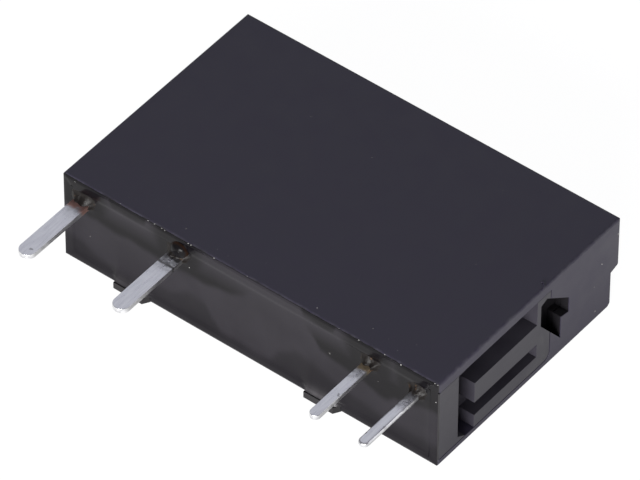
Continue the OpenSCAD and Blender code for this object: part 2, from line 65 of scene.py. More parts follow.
# Camera: where it stands, what it aims at and how it is rolled
CAMERA_FROM = Vector((136.715, -222.171, -168.889)) * MM
CAMERA_AIM = Vector((-0.502, 1.275, 5.77)) * MM
CAMERA_ROLL = math.radians(48.155)
FOCAL_PIXELS = 7483.5
IMAGE_WIDTH = 640
SENSOR_MM = 36


def link(name, mesh):
    """A new object at the origin that holds a mesh."""
    piece = bpy.data.objects.new(name, mesh)
    bpy.context.scene.collection.objects.link(piece)
    return piece


def place_camera():
    """The camera of the photograph."""
    data = bpy.data.cameras.new("photo_camera")
    data.sensor_width = SENSOR_MM
    data.lens = FOCAL_PIXELS / IMAGE_WIDTH * SENSOR_MM
    camera = link("photo_camera", data)
    turn = (CAMERA_AIM - CAMERA_FROM).to_track_quat("-Z", "Y").to_matrix()
    roll = Matrix.Rotation(CAMERA_ROLL, 3, "Z")
    camera.matrix_world = Matrix.Translation(CAMERA_FROM) @ (turn @ roll).to_4x4()
    bpy.context.scene.camera = camera


def fill(tree, node, inputs):
    """Sets a node's inputs; each is a plain value or another node's output."""
    for key, value in inputs.items():
        if isinstance(value, bpy.types.NodeSocket):
            tree.links.new(value, node.inputs[key])
        else:
            node.inputs[key].default_value = value


def add(tree, kind, inputs=None, **settings):
    """Adds a node with its settings and inputs."""
    node = tree.nodes.new(kind)
    for key, value in settings.items():
        setattr(node, key, value)
    fill(tree, node, inputs or {})
    return node


def math_node(tree, operation, first, second=0.0, clamp=False):
    """The result of one sum on two numbers."""
    return add(tree, "ShaderNodeMath", {0: first, 1: second}, operation=operation, use_clamp=clamp).outputs[0]


def ramp(tree, value, low, high, to_low=0.0, to_high=1.0):
    """A number carried from one range to another, held at its ends."""
    inputs = {"Value": value, "From Min": low, "From Max": high, "To Min": to_low, "To Max": to_high}
    return add(tree, "ShaderNodeMapRange", inputs).outputs["Result"]


def mix(tree, share, first, second):
    """A colour between two colours."""
    return add(tree, "ShaderNodeMix", {"Factor": share, 6: first, 7: second}, data_type="RGBA").outputs[2]


def vectors(tree, operation, first, second):
    """The result of one sum on two vectors."""
    return add(tree, "ShaderNodeVectorMath", {0: first, 1: second}, operation=operation).outputs[0]


def noise_over(tree, place, scale, detail=2.0):
    """Noise over a surface, from zero to one."""
    return add(tree, "ShaderNodeTexNoise", {"Vector": place, "Scale": scale, "Detail": detail}).outputs[0]


def height_of(tree, place):
    """The Z of a place."""
    return add(tree, "ShaderNodeSeparateXYZ", {"Vector": place}).outputs["Z"]


def rgb(red, green, blue):
    """A solid colour."""
    return (red, green, blue, 1.0)


def group(name, inputs, outputs):
    """An empty shader group with named sockets, and its two end nodes."""
    tree = bpy.data.node_groups.new(name, "ShaderNodeTree")
    for label, kind in inputs:
        tree.interface.new_socket(label, in_out="INPUT", socket_type=kind)
    for label, kind in outputs:
        tree.interface.new_socket(label, in_out="OUTPUT", socket_type=kind)
    return tree, tree.nodes.new("NodeGroupInput"), tree.nodes.new("NodeGroupOutput")


VECTOR, NUMBER = "NodeSocketVector", "NodeSocketFloat"


def grain_group():
    """Fine spark-eroded grain of a mould, with a slow mottle."""
    tree, start, end = group(
        "mould_grain",
        [("Place", VECTOR), ("Grains per metre", NUMBER)],
        [("Height", NUMBER), ("Mottle", NUMBER)],
    )
    place, scale = start.outputs[0], start.outputs[1]
    fine = add(tree, "ShaderNodeTexNoise", {"Vector": place, "Scale": scale, "Detail": 4.0, "Roughness": 0.6})
    wide = math_node(tree, "MULTIPLY", scale, 0.06)
    slow = noise_over(tree, place, wide, 3.0)
    tree.links.new(fine.outputs[0], end.inputs["Height"])
    tree.links.new(ramp(tree, slow, 0.35, 0.65), end.inputs["Mottle"])
    return tree


def dust_group():
    """Sparse pale specks, each a dot near the middle of a chosen cell."""
    tree, start, end = group(
        "dust_specks",
        [("Place", VECTOR), ("Cells per metre", NUMBER), ("Share", NUMBER), ("Size", NUMBER)],
        [("Mask", NUMBER)],
    )
    cells = add(tree, "ShaderNodeTexVoronoi", {"Vector": start.outputs[0], "Scale": start.outputs[1]})
    parts = add(tree, "ShaderNodeSeparateColor", {"Color": cells.outputs["Color"]})
    chosen = math_node(tree, "LESS_THAN", parts.outputs[0], start.outputs[2])
    size = math_node(tree, "MULTIPLY", start.outputs[3], parts.outputs[1])
    dot = math_node(tree, "LESS_THAN", cells.outputs["Distance"], size)
    strength = math_node(tree, "MULTIPLY", chosen, parts.outputs[2])
    tree.links.new(math_node(tree, "MULTIPLY", dot, strength), end.inputs["Mask"])
    return tree


def edge_group():
    """Handling wear on the rounded edges, broken up by noise."""
    tree, start, end = group("edge_wear", [("Place", VECTOR), ("Amount", NUMBER)], [("Mask", NUMBER)])
    edge = add(tree, "ShaderNodeAttribute", attribute_name="edge")
    broken = ramp(tree, noise_over(tree, start.outputs[0], 2600.0, 5.0), 0.42, 0.68)
    worn = math_node(tree, "MULTIPLY", edge.outputs["Fac"], broken)
    tree.links.new(math_node(tree, "MULTIPLY", worn, start.outputs[1]), end.inputs["Mask"])
    return tree


GRAIN = grain_group()
DUST = dust_group()
EDGE = edge_group()


def new_material(name):
    """A material with its surface shader, its output and the place on the piece."""
    material = bpy.data.materials.new(name)
    material.use_nodes = True
    tree = material.node_tree
    tree.nodes.clear()
    surface = add(tree, "ShaderNodeBsdfPrincipled")
    add(tree, "ShaderNodeOutputMaterial", {"Surface": surface.outputs[0]})
    place = add(tree, "ShaderNodeTexCoord").outputs["Object"]
    return material, tree, surface, place


def bump(tree, surface, height, depth):
    """Joins a height to the surface's normal, with a depth in metres."""
    node = add(tree, "ShaderNodeBump", {"Height": height, "Distance": depth, "Strength": 1.0})
    tree.links.new(node.outputs[0], surface.inputs["Normal"])


def use(tree, shared, inputs):
    """Places a shared group in a material."""
    return add(tree, "ShaderNodeGroup", inputs, node_tree=shared).outputs


def within(tree, place, low, high):
    """One inside a box, zero outside it."""
    above = vectors(tree, "SUBTRACT", place, low)
    below = vectors(tree, "SUBTRACT", high, place)
    least = vectors(tree, "MINIMUM", above, below)
    sides = add(tree, "ShaderNodeSeparateXYZ", {"Vector": least}).outputs
    nearest = math_node(tree, "MINIMUM", math_node(tree, "MINIMUM", sides["X"], sides["Y"]), sides["Z"])
    return math_node(tree, "GREATER_THAN", nearest, 0.0)


# The resin smear on plastic below the rim: its ragged upper edge and its blur
SMEAR_LOW = RIM_Z + 0.01 * MM
SMEAR_HIGH = RIM_Z + 0.07 * MM
SMEAR_OUT = 0.03 * MM
SMEAR_IN = -0.01 * MM


def moulded_plastic(name, dark, light, rough, dust_share, grain_depth):
    """Moulded plastic with grain, mottle, worn edges, smeared resin, painted shade in the notch, and dust."""
    material, tree, surface, place = new_material(name)
    grain = use(tree, GRAIN, {"Place": place, "Grains per metre": 16000.0})
    dust = use(tree, DUST, {"Place": place, "Cells per metre": 2400.0, "Share": dust_share, "Size": 0.22})
    worn = use(tree, EDGE, {"Place": place, "Amount": 0.2})
    colour = mix(tree, grain["Mottle"], dark, light)
    patches = noise_over(tree, place, 1800.0, 3.0)
    edge_z = ramp(tree, patches, 0.3, 0.7, SMEAR_LOW, SMEAR_HIGH)
    smear = ramp(tree, math_node(tree, "SUBTRACT", height_of(tree, place), edge_z), SMEAR_OUT, SMEAR_IN)
    colour = mix(tree, worn["Mask"], colour, rgb(0.11, 0.11, 0.115))
    colour = mix(tree, smear, colour, rgb(0.0075, 0.0065, 0.0075))
    # Painted shade: inside the notch the plastic is made near black, rough and metallic in place of the
    # shadow deep in it
    painted_notch_shade = within(tree, place, NOTCH_LOW, NOTCH_HIGH)
    colour = mix(tree, painted_notch_shade, colour, rgb(0.03, 0.028, 0.032))
    colour = mix(tree, dust["Mask"], colour, rgb(0.4, 0.39, 0.38))
    satin = ramp(tree, grain["Mottle"], 0, 1, rough - 0.04, rough + 0.05)
    satin = math_node(tree, "MAXIMUM", satin, painted_notch_shade)
    fill(tree, surface, {"Base Color": colour, "Roughness": satin, "Metallic": painted_notch_shade})
    bump(tree, surface, grain["Height"], grain_depth)
    return material


def poured_resin():
    """Black epoxy: hazy in the middle, with painted shade (a darker colour standing in for reflected shadow)
    where it climbs the pins and the far wall, and a painted highlight on the fillets at the feet.
    """
    material, tree, surface, place = new_material("poured_resin")
    ripple = noise_over(tree, place, 900.0)
    haze = noise_over(tree, place, 420.0, 4.0)
    painted_shade = add(tree, "ShaderNodeAttribute", attribute_name="painted_shade").outputs["Fac"]
    dust = use(tree, DUST, {"Place": place, "Cells per metre": 2600.0, "Share": 0.03, "Size": 0.16})
    cloudy = ramp(tree, haze, 0.4, 0.62)
    colour = mix(tree, cloudy, rgb(0.0108, 0.0095, 0.0122), rgb(0.0132, 0.0117, 0.0148))
    # Painted shade: the resin is darkened where it should mirror shadow, by the pins, the far wall and the
    # near wall
    colour = mix(tree, painted_shade, colour, rgb(0.0022, 0.0018, 0.0024))
    # Painted highlight: a paler colour on the fillets at the feet stands in for a reflected streak of light
    painted_highlight = add(tree, "ShaderNodeAttribute", attribute_name="painted_highlight").outputs["Fac"]
    colour = mix(tree, painted_highlight, colour, rgb(0.075, 0.071, 0.075))
    colour = mix(tree, dust["Mask"], colour, rgb(0.06, 0.058, 0.055))
    gloss = ramp(tree, haze, 0.35, 0.65, 0.14, 0.26)
    fill(tree, surface, {"Base Color": colour, "Roughness": gloss, "Specular IOR Level": 0.2})
    bump(tree, surface, ripple, 0.012 * MM)
    return material


def near(tree, place, spot, reach):
    """One at a spot, falling to zero at a distance from it."""
    gap = add(tree, "ShaderNodeVectorMath", {0: place, 1: spot}, operation="DISTANCE").outputs["Value"]
    return ramp(tree, gap, reach, reach * 0.5)


# Tinning: how ragged its borders are, where coarse solder begins, half width of a line, and size of a mark
TIN_RAGGED = 0.12 * MM
SOLDER_NONE = -1.0 * MM
SOLDER_FULL = -0.7 * MM
LINE_OUT = 0.08 * MM
LINE_IN = 0.03 * MM
MARK_R = 0.1 * MM
MARK_SPREAD = 0.25 * MM


def tinned_metal(name, root_colour, root_z, solder, line_z, mark):
    """Hot-tinned sheet: drawn streaks, small pits, a stained root, a tinning line and one dark mark."""
    material, tree, surface, place = new_material(name)
    stretch = add(tree, "ShaderNodeMapping", {"Vector": place, "Scale": (1.0, 1.0, 0.16)}).outputs[0]
    streaks = noise_over(tree, stretch, 7000.0, 4.0)
    lumps = noise_over(tree, place, 3200.0, 3.0)
    crumbs = noise_over(tree, place, 9000.0, 4.0)
    pits = use(tree, DUST, {"Place": place, "Cells per metre": 2200.0, "Share": 0.12, "Size": 0.24})
    height = height_of(tree, place)
    ragged = ramp(tree, lumps, 0.3, 0.7, -TIN_RAGGED, TIN_RAGGED)
    level = math_node(tree, "ADD", height, ragged)
    root = ramp(tree, level, root_z - TIN_RAGGED, root_z + TIN_RAGGED)
    rough_end = ramp(tree, level, SOLDER_NONE, SOLDER_FULL, 0.0, solder)
    straight = math_node(tree, "ADD", height, math_node(tree, "MULTIPLY", ragged, 0.3))
    gap = math_node(tree, "ABSOLUTE", math_node(tree, "SUBTRACT", straight, line_z))
    line = ramp(tree, gap, LINE_OUT, LINE_IN)
    ways = add(tree, "ShaderNodeTexNoise", {"Vector": place, "Scale": 6000.0}).outputs["Color"]
    shift = vectors(tree, "SUBTRACT", ways, (0.5, 0.5, 0.5))
    shift = add(tree, "ShaderNodeVectorMath", {0: shift, "Scale": MARK_SPREAD}, operation="SCALE").outputs[0]
    moved = vectors(tree, "ADD", place, shift)
    spot = math_node(tree, "MULTIPLY", near(tree, moved, mark, MARK_R), 0.7)
    stain = math_node(tree, "MAXIMUM", line, spot, clamp=True)
    bright = ramp(tree, streaks, 0.35, 0.65)
    colour = mix(tree, bright, rgb(0.68, 0.68, 0.7), rgb(0.86, 0.86, 0.87))
    colour = mix(tree, pits["Mask"], colour, rgb(0.2, 0.19, 0.19))
    grey = ramp(tree, crumbs, 0.4, 0.6, 0.0, 0.6)
    colour = mix(tree, math_node(tree, "MULTIPLY", grey, rough_end), colour, rgb(0.25, 0.24, 0.24))
    colour = mix(tree, root, colour, root_colour)
    colour = mix(tree, math_node(tree, "MULTIPLY", stain, 0.8), colour, rgb(0.07, 0.065, 0.06))
    rough = ramp(tree, streaks, 0.3, 0.7, 0.24, 0.4)
    rough = math_node(tree, "ADD", rough, math_node(tree, "MULTIPLY", root, 0.2))
    fill(tree, surface, {"Base Color": colour, "Roughness": rough, "Metallic": 1.0})
    relief = math_node(tree, "ADD", math_node(tree, "MULTIPLY", streaks, 0.35), lumps)
    coarse = math_node(tree, "MULTIPLY", crumbs, math_node(tree, "MULTIPLY", rough_end, 3.0))
    bump(tree, surface, math_node(tree, "ADD", relief, coarse), 0.022 * MM)
    return material


def flux_crust():
    """Baked flux: near black and glossy, amber in a few thin spots."""
    material, tree, surface, place = new_material("flux_crust")
    fine = noise_over(tree, place, 9000.0, 3.0)
    thin = ramp(tree, noise_over(tree, place, 3400.0, 3.0), 0.62, 0.76)
    colour = mix(tree, thin, rgb(0.007, 0.0055, 0.005), rgb(0.13, 0.07, 0.032))
    gloss = ramp(tree, fine, 0.3, 0.7, 0.3, 0.5)
    fill(tree, surface, {"Base Color": colour, "Roughness": gloss, "Specular IOR Level": 0.16})
    bump(tree, surface, fine, 0.02 * MM)
    return material


# Levels between which the bead turns brown
BEAD_BLACK_Z = 0.16 * MM
BEAD_BROWN_Z = 0.3 * MM


def flux_gloss():
    """Fresh flux: black and as smooth as glass, browner at its foot."""
    material, tree, surface, place = new_material("flux_gloss")
    foot = ramp(tree, height_of(tree, place), BEAD_BLACK_Z, BEAD_BROWN_Z)
    colour = mix(tree, foot, rgb(0.005, 0.0045, 0.005), rgb(0.018, 0.008, 0.004))
    fill(tree, surface, {"Base Color": colour, "Roughness": 0.2, "Specular IOR Level": 0.11})
    return material


def rolled_metal(name, dark, light, rough, along, grains=5200.0):
    """Rolled or drawn metal with a grain along one direction."""
    material, tree, surface, place = new_material(name)
    stretch = add(tree, "ShaderNodeMapping", {"Vector": place, "Scale": along}).outputs[0]
    grain = noise_over(tree, stretch, grains, 5.0)
    worn = use(tree, EDGE, {"Place": place, "Amount": 0.6})
    colour = mix(tree, ramp(tree, grain, 0.35, 0.65), dark, light)
    colour = mix(tree, worn["Mask"], colour, light)
    uneven = ramp(tree, grain, 0.3, 0.7, rough - 0.07, rough + 0.07)
    fill(tree, surface, {"Base Color": colour, "Roughness": uneven, "Metallic": 1.0})
    bump(tree, surface, grain, 0.01 * MM)
    return material


def enamelled_wire():
    """Copper wire under a clear amber enamel."""
    material, tree, surface, place = new_material("enamelled_wire")
    patches = noise_over(tree, place, 1500.0, 3.0)
    colour = mix(tree, ramp(tree, patches, 0.35, 0.65), rgb(0.42, 0.14, 0.05), rgb(0.68, 0.29, 0.12))
    gloss = ramp(tree, patches, 0.3, 0.7, 0.26, 0.4)
    fill(tree, surface, {"Base Color": colour, "Roughness": gloss, "Metallic": 1.0})
    fill(tree, surface, {"Coat Weight": 0.7, "Coat Roughness": 0.12})
    bump(tree, surface, patches, 0.01 * MM)
    return material


def dust_fleck():
    """Pale lint and dust."""
    material, tree, surface, place = new_material("dust_fleck")
    tone = ramp(tree, noise_over(tree, place, 9000.0), 0.35, 0.65)
    colour = mix(tree, tone, rgb(0.16, 0.155, 0.15), rgb(0.45, 0.44, 0.42))
    fill(tree, surface, {"Base Color": colour, "Roughness": 0.9})
    return material


FINISH = {
    "case": moulded_plastic(
        "case_plastic", rgb(0.0195, 0.0163, 0.0305), rgb(0.0232, 0.0196, 0.0357), 0.46, 0.008, 0.004 * MM),
    "base": moulded_plastic(
        "base_plastic", rgb(0.022, 0.0198, 0.0272), rgb(0.026, 0.0236, 0.0317), 0.46, 0.008, 0.004 * MM),
    "resin": poured_resin(),
    "silver": rolled_metal("silver_alloy", rgb(0.7, 0.69, 0.66), rgb(0.88, 0.87, 0.85), 0.28, (1, 1, 1)),
    "blade": rolled_metal("copper_alloy_leaf", rgb(0.55, 0.3, 0.17), rgb(0.76, 0.48, 0.3), 0.3, (1, 1, 0.12)),
    "rivet": rolled_metal("plated_rivet", rgb(0.55, 0.55, 0.54), rgb(0.75, 0.75, 0.73), 0.33, (1, 1, 1)),
    "card": moulded_plastic(
        "card_plastic", rgb(0.68, 0.63, 0.52), rgb(0.76, 0.72, 0.62), 0.5, 0.0, 0.004 * MM),
    "spring": rolled_metal("bronze_leaf", rgb(0.52, 0.33, 0.16), rgb(0.72, 0.52, 0.3), 0.3, (0.12, 1, 1)),
    "iron": rolled_metal("plated_iron", rgb(0.36, 0.36, 0.37), rgb(0.56, 0.56, 0.57), 0.36, (0.15, 1, 1)),
    "bobbin": moulded_plastic(
        "bobbin_plastic", rgb(0.018, 0.018, 0.02), rgb(0.03, 0.03, 0.033), 0.5, 0.0, 0.005 * MM),
    "winding": enamelled_wire(),
}
FLUX = flux_crust()
FLUX_GLOSS = flux_gloss()
FLECK = dust_fleck()

# Tinning of each pin: tint and level of its root, coarse solder, level of a dark line, and a dark mark
GREY_ROOT = rgb(0.4, 0.37, 0.35)
COPPER_ROOT = rgb(0.5, 0.3, 0.26)
TAN_ROOT = rgb(0.5, 0.4, 0.27)
NOWHERE = 50 * MM
FAR_AWAY = Vector((0, 0, NOWHERE))
TIN = {
    "fixed_terminal": tinned_metal(
        "fixed_pin_tin", COPPER_ROOT, -0.26 * MM, 0.0, NOWHERE, Vector((-8.77, -0.13, -3.25)) * MM),
    "common_terminal": tinned_metal("common_pin_tin", GREY_ROOT, 0.2 * MM, 0.3, -0.44 * MM, FAR_AWAY),
    "coil_terminal_a": tinned_metal(
        "inner_pin_tin", TAN_ROOT, -0.12 * MM, 0.3, NOWHERE, Vector((6.47, -0.13, -1.87)) * MM),
    "coil_terminal_b": tinned_metal("outer_pin_tin", GREY_ROOT, 0.1 * MM, 0.7, NOWHERE, FAR_AWAY),
}

# Rounding that each piece's sharp edges get, and the names of the pieces
ROUNDED = {
    "cover": ("cover_shell", 0.03 * MM),
    "base": ("base_block", 0.03 * MM),
    "fixed_terminal": ("contact_pin_fixed", 0.1 * MM),
    "common_terminal": ("contact_pin_common", 0.1 * MM),
    "coil_terminal_a": ("coil_pin_inner", 0.1 * MM),
    "coil_terminal_b": ("coil_pin_outer", 0.1 * MM),
    "fixed_contact": ("fixed_contact_rivet", 0.05 * MM),
    "moving_contact": ("moving_contact_rivet", 0.03 * MM),
    "contact_blade": ("blade_leaf", 0.02 * MM),
    "blade_rivets": ("blade_rivet_heads", 0.05 * MM),
    "actuator_card": ("card_slider", 0.06 * MM),
    "armature": ("armature_plate", 0.06 * MM),
    "hinge_spring": ("hinge_leaf", 0.02 * MM),
    "hinge_rivet": ("hinge_rivet_head", 0.05 * MM),
    "yoke": ("yoke_frame", 0.06 * MM),
    "core": ("core_rod", 0.05 * MM),
    "bobbin": ("bobbin_spool", 0.04 * MM),
}
# Distance within which points are one, angle up to which faces are flat, and past which edges are sharp
MERGE = 1e-7
FLAT = math.radians(0.5)
SHARP = math.radians(32)
# Largest part of a face's normal along one axis, from which the face counts as square to it
SQUARE = 0.985


def finish_piece(piece, material, body="root"):
    """Gives a piece its finish and the body that it moves with."""
    piece.data.materials.clear()
    piece.data.materials.append(material)
    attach(piece, body)
    return piece


def body_of_node(node):
    """The body that a solid belongs to."""
    groups = frame["record"]["behaviour"]["bodies"]
    return next(body for body, members in groups.items() if node in members)


def mark_edges(mesh):
    """Marks the faces that lie between the main planes, where wear shows."""
    attribute = mesh.attributes.new("edge", "FLOAT", "FACE")
    for face in mesh.polygons:
        attribute.data[face.index].value = float(max(abs(n) for n in face.normal) < SQUARE)


def evaluated_mesh(piece, name):
    """A plain mesh of an object with its modifiers applied."""
    graph = bpy.context.evaluated_depsgraph_get()
    mesh = bpy.data.meshes.new_from_object(
        piece.evaluated_get(graph), preserve_all_data_layers=True, depsgraph=graph)
    mesh.name = name
    return mesh


def plain_mesh(shape, name, sharp=None):
    """A smooth mesh made from a shape, with sharp edges past an angle."""
    mesh = bpy.data.meshes.new(name)
    shape.to_mesh(mesh)
    shape.free()
    mesh.shade_smooth()
    if sharp is not None:
        mesh.set_sharp_from_angle(angle=sharp)
    return mesh


def skin(shape, rings):
    """Joins rings of points, and the last ring to the first, with faces that point outwards."""
    for low, high in zip(rings, rings[1:] + rings[:1]):
        for i in range(len(low)):
            j = (i + 1) % len(low)
            shape.faces.new([low[i], low[j], high[j], high[i]])
    bmesh.ops.recalc_face_normals(shape, faces=shape.faces)


def rounded_copy(node):
    """A copy of a solid with its planes joined and its sharp edges rounded."""
    name, width = ROUNDED[node]
    shape = bmesh.new()
    shape.from_mesh(frame["nodes"][node].data)
    bmesh.ops.remove_doubles(shape, verts=shape.verts, dist=MERGE)
    bmesh.ops.dissolve_limit(shape, angle_limit=FLAT, verts=shape.verts, edges=shape.edges)
    mesh = plain_mesh(shape, name + "_plain", SHARP)
    piece = link(name, mesh)
    edges = piece.modifiers.new("round_edges", "BEVEL")
    edges.limit_method = "ANGLE"
    edges.angle_limit = SHARP
    edges.width = width
    edges.segments = 3
    edges.use_clamp_overlap = True
    edges.harden_normals = True
    final = evaluated_mesh(piece, name)
    piece.modifiers.remove(edges)
    piece.data = final
    bpy.data.meshes.remove(mesh)
    mark_edges(final)
    finish_piece(piece, TIN.get(node) or FINISH[SLOT[node]], body_of_node(node))
    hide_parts(node)
    return piece


def spread(low, high, count):
    """Places from low to high, closer together towards the two ends."""
    return [low + (high - low) * (0.5 - 0.5 * math.cos(math.pi * i / count)) for i in range(count + 1)]


# Poured resin: how it climbs the walls and pins, and how it swells between them
NEAR_CLIMB = 0.05 * MM
FAR_CLIMB = 0.07 * MM
CLIMB_WIDTH = 0.22 * MM
SWELL = 0.03 * MM
SWELL_LENGTH = 4.5 * MM
NEAR_WAVE_LENGTH = 2.2 * MM
PIN_CLIMB = 0.05 * MM
PIN_CLIMB_WIDTH = 0.15 * MM
FOOT_CLIMB = 0.33 * MM
FOOT_CLIMB_WIDTH = 0.45 * MM
END_CLIMB = 0.07 * MM
END_CLIMB_WIDTH = 0.7 * MM
# Painted highlight on the resin's fillets at the two feet: width, strength at each foot, distance from the
# wall and length of a streak
HIGHLIGHT_WIDTH = 0.14 * MM
HIGHLIGHT_FIRST = 0.45
HIGHLIGHT_SECOND = 0.9
HIGHLIGHT_FROM_WALL = 0.08 * MM
HIGHLIGHT_STREAK = 0.35 * MM
# Steps of the open surface along X and across it, and the angle past which its edges are sharp
RESIN_STEPS_X = 210
RESIN_STEPS_Y = 52
RESIN_SHARP = math.radians(50)
# Edges of the painted shade on the resin along the pins and along the far wall: places in X and Y, in
# millimetres
PIN_SIDE_EDGE = [
    (-9.6, 0.5), (-8.4, 0.75), (-7.0, 0.85), (-6.4, 0.75), (-5.2, 0.85), (-2.8, 0.85), (-2.2, 0.8),
    (-1.6, 0.65), (-1.0, 0.55), (-0.4, 0.25), (0.2, -0.4), (0.8, -0.9), (2.6, -0.9), (3.2, 0.1),
    (3.8, 0.85), (4.4, 1.05), (5.6, 1.15), (7.2, 1.55), (7.8, 1.2), (8.5, 0.9), (9.6, 0.6),
]
FAR_SIDE_EDGE = [
    (-9.6, 2.3), (-8.0, 2.9), (-6.0, 2.9), (-4.3, 2.45), (-3.2, 1.87), (-2.5, 1.94), (-1.95, 2.65),
    (-1.5, 3.1), (1.0, 3.15), (1.75, 2.2), (2.45, 1.77), (3.2, 1.88), (4.5, 2.2), (6.0, 2.5),
    (7.5, 2.7), (9.6, 2.6),
]
# Edge of the painted shade on the resin's stretches by the near wall
NEAR_WALL_SHADE_EDGE = [
    (-9.6, -1.4), (-7.7, -1.4), (-7.3, -0.72), (-6.1, -0.66), (-5.6, -0.76), (-5.3, -1.4),
    (2.6, -1.4), (3.0, -0.78), (3.6, -0.64), (4.4, -0.7), (4.8, -1.4), (9.6, -1.4),
]
# How uneven and soft these edges are, and how dark the painted shade is by the pins, the far wall and the
# near wall's stretches
SHADE_EDGE_WAVE = 0.08 * MM
SHADE_EDGE_WAVE_LENGTH = 0.5 * MM
SHADE_EDGE_BLUR = 0.2 * MM
FAR_BLUR = 0.3 * MM
PIN_SHADE = 0.96
FAR_SHADE = 0.5
NEAR_WALL_SHADE = 0.9
# Where the painted shade starts and is full between the pins, and how far a pin carries it to the near wall
SHADE_START = -0.4 * MM
SHADE_FULL = 0.45 * MM
PIN_REACH = 0.9 * MM


def pin_rect(node):
    """A pin's outline on the resin: its middle along X and its half sizes."""
    half_y = -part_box("coil_terminal_a")[0].y
    tip = [v.co.x for v in frame["nodes"][node].data.vertices if v.co.z < RIM_Z]
    return (min(tip) + max(tip)) / 2, (max(tip) - min(tip)) / 2, half_y


PINS = [pin_rect(node) for node in PIN_NODES]


def distance_to_pin(x, y, pin):
    """Distance from a point on the resin to a pin's outline."""
    middle, half_x, half_y = pin
    return math.hypot(max(abs(x - middle) - half_x, 0), max(abs(y) - half_y, 0))


def along(line, x):
    """Height of a line of points at a place along X, eased between the points."""
    spots = [(a * MM, b * MM) for a, b in line]
    for (x0, y0), (x1, y1) in zip(spots, spots[1:]):
        if x <= x1:
            share = min(max((x - x0) / (x1 - x0), 0), 1)
            return y0 + (y1 - y0) * share * share * (3 - 2 * share)
    return spots[-1][1]


def eased(value):
    """A number held between zero and one, eased at both ends."""
    held = min(max(value, 0), 1)
    return held * held * (3 - 2 * held)


def painted_shade_amount(x, y):
    """How much shade is painted on the resin, as a darker colour in place of reflected shadow: one along the
    pins and along the far wall.
    """
    wave = SHADE_EDGE_WAVE * noise.noise(Vector((x, y, 0)) / SHADE_EDGE_WAVE_LENGTH)
    by_pins = eased(0.5 + (along(PIN_SIDE_EDGE, x) + wave - y) / SHADE_EDGE_BLUR / 2)
    by_wall = eased(0.5 + (y + wave - along(FAR_SIDE_EDGE, x)) / FAR_BLUR / 2)
    by_near_wall = eased(0.5 + (along(NEAR_WALL_SHADE_EDGE, x) + wave - y) / SHADE_EDGE_BLUR / 2)
    grows = min(max((y - SHADE_START) / (SHADE_FULL - SHADE_START), 0), 1)
    pin_gap = min(abs(x - middle) for middle, _, _ in PINS)
    by_pins *= max(grows, eased(1.9 - pin_gap / PIN_REACH))
    return max(by_pins * PIN_SHADE, by_wall * FAR_SHADE, by_near_wall * NEAR_WALL_SHADE)


def foot_ranges():
    """Where the two feet stand along X, read from the cover's lowest faces."""
    lowest = [v.co.x for v in frame["nodes"]["cover"].data.vertices if v.co.z < COVER_LOW.z + MERGE]
    middle = (min(lowest) + max(lowest)) / 2
    left = [x for x in lowest if x < middle]
    right = [x for x in lowest if x > middle]
    return [(min(left), max(left)), (min(right), max(right))]


FEET = foot_ranges()


def foot_rise(x, y):
    """How far the resin climbs a foot's inner face."""
    beside = min(max(start - x, x - end, 0) for start, end in FEET)
    return FOOT_CLIMB * math.exp(-(RESIN_HIGH.y - y + beside * 2) / FOOT_CLIMB_WIDTH)


def painted_highlight_amount(x, y):
    """How much highlight is painted on the resin's fillets at the feet; more at the second foot."""
    beside = [max(start - x, x - end, 0) for start, end in FEET]
    share = HIGHLIGHT_FIRST if beside[0] < beside[1] else HIGHLIGHT_SECOND
    streak = 0.7 + 0.5 * noise.noise(Vector((x / HIGHLIGHT_STREAK, 7.1, 0)))
    return share * streak * math.exp(-(abs(RESIN_HIGH.y - HIGHLIGHT_FROM_WALL - y) + min(beside) * 3) / HIGHLIGHT_WIDTH)


def resin_level(x, y):
    """Height of the resin's open surface; lower is further out of the case."""
    wave = noise.noise(Vector((x / NEAR_WAVE_LENGTH, 3.7, 0)))
    near_wall = NEAR_CLIMB * (0.6 + 0.4 * wave) * math.exp(-(y - RESIN_LOW.y) / CLIMB_WIDTH)
    far_wall = FAR_CLIMB * math.exp(-(RESIN_HIGH.y - y) / CLIMB_WIDTH)
    ends = END_CLIMB * math.exp(-min(x - RESIN_LOW.x, RESIN_HIGH.x - x) / END_CLIMB_WIDTH)
    pins = sum(PIN_CLIMB * math.exp(-distance_to_pin(x, y, pin) / PIN_CLIMB_WIDTH) for pin in PINS)
    swell = SWELL * noise.noise(Vector((x / SWELL_LENGTH, y / SWELL_LENGTH, 1.3)))
    return RESIN_LOW.z - near_wall - max(far_wall, foot_rise(x, y)) - ends - pins + swell


def mark_tones(mesh):
    """Keeps on each point how much shade and how much highlight is painted on the resin there."""
    for name, tone in (("painted_shade", painted_shade_amount), ("painted_highlight", painted_highlight_amount)):
        attribute = mesh.attributes.new(name, "FLOAT", "POINT")
        for point in mesh.vertices:
            attribute.data[point.index].value = tone(point.co.x, point.co.y)


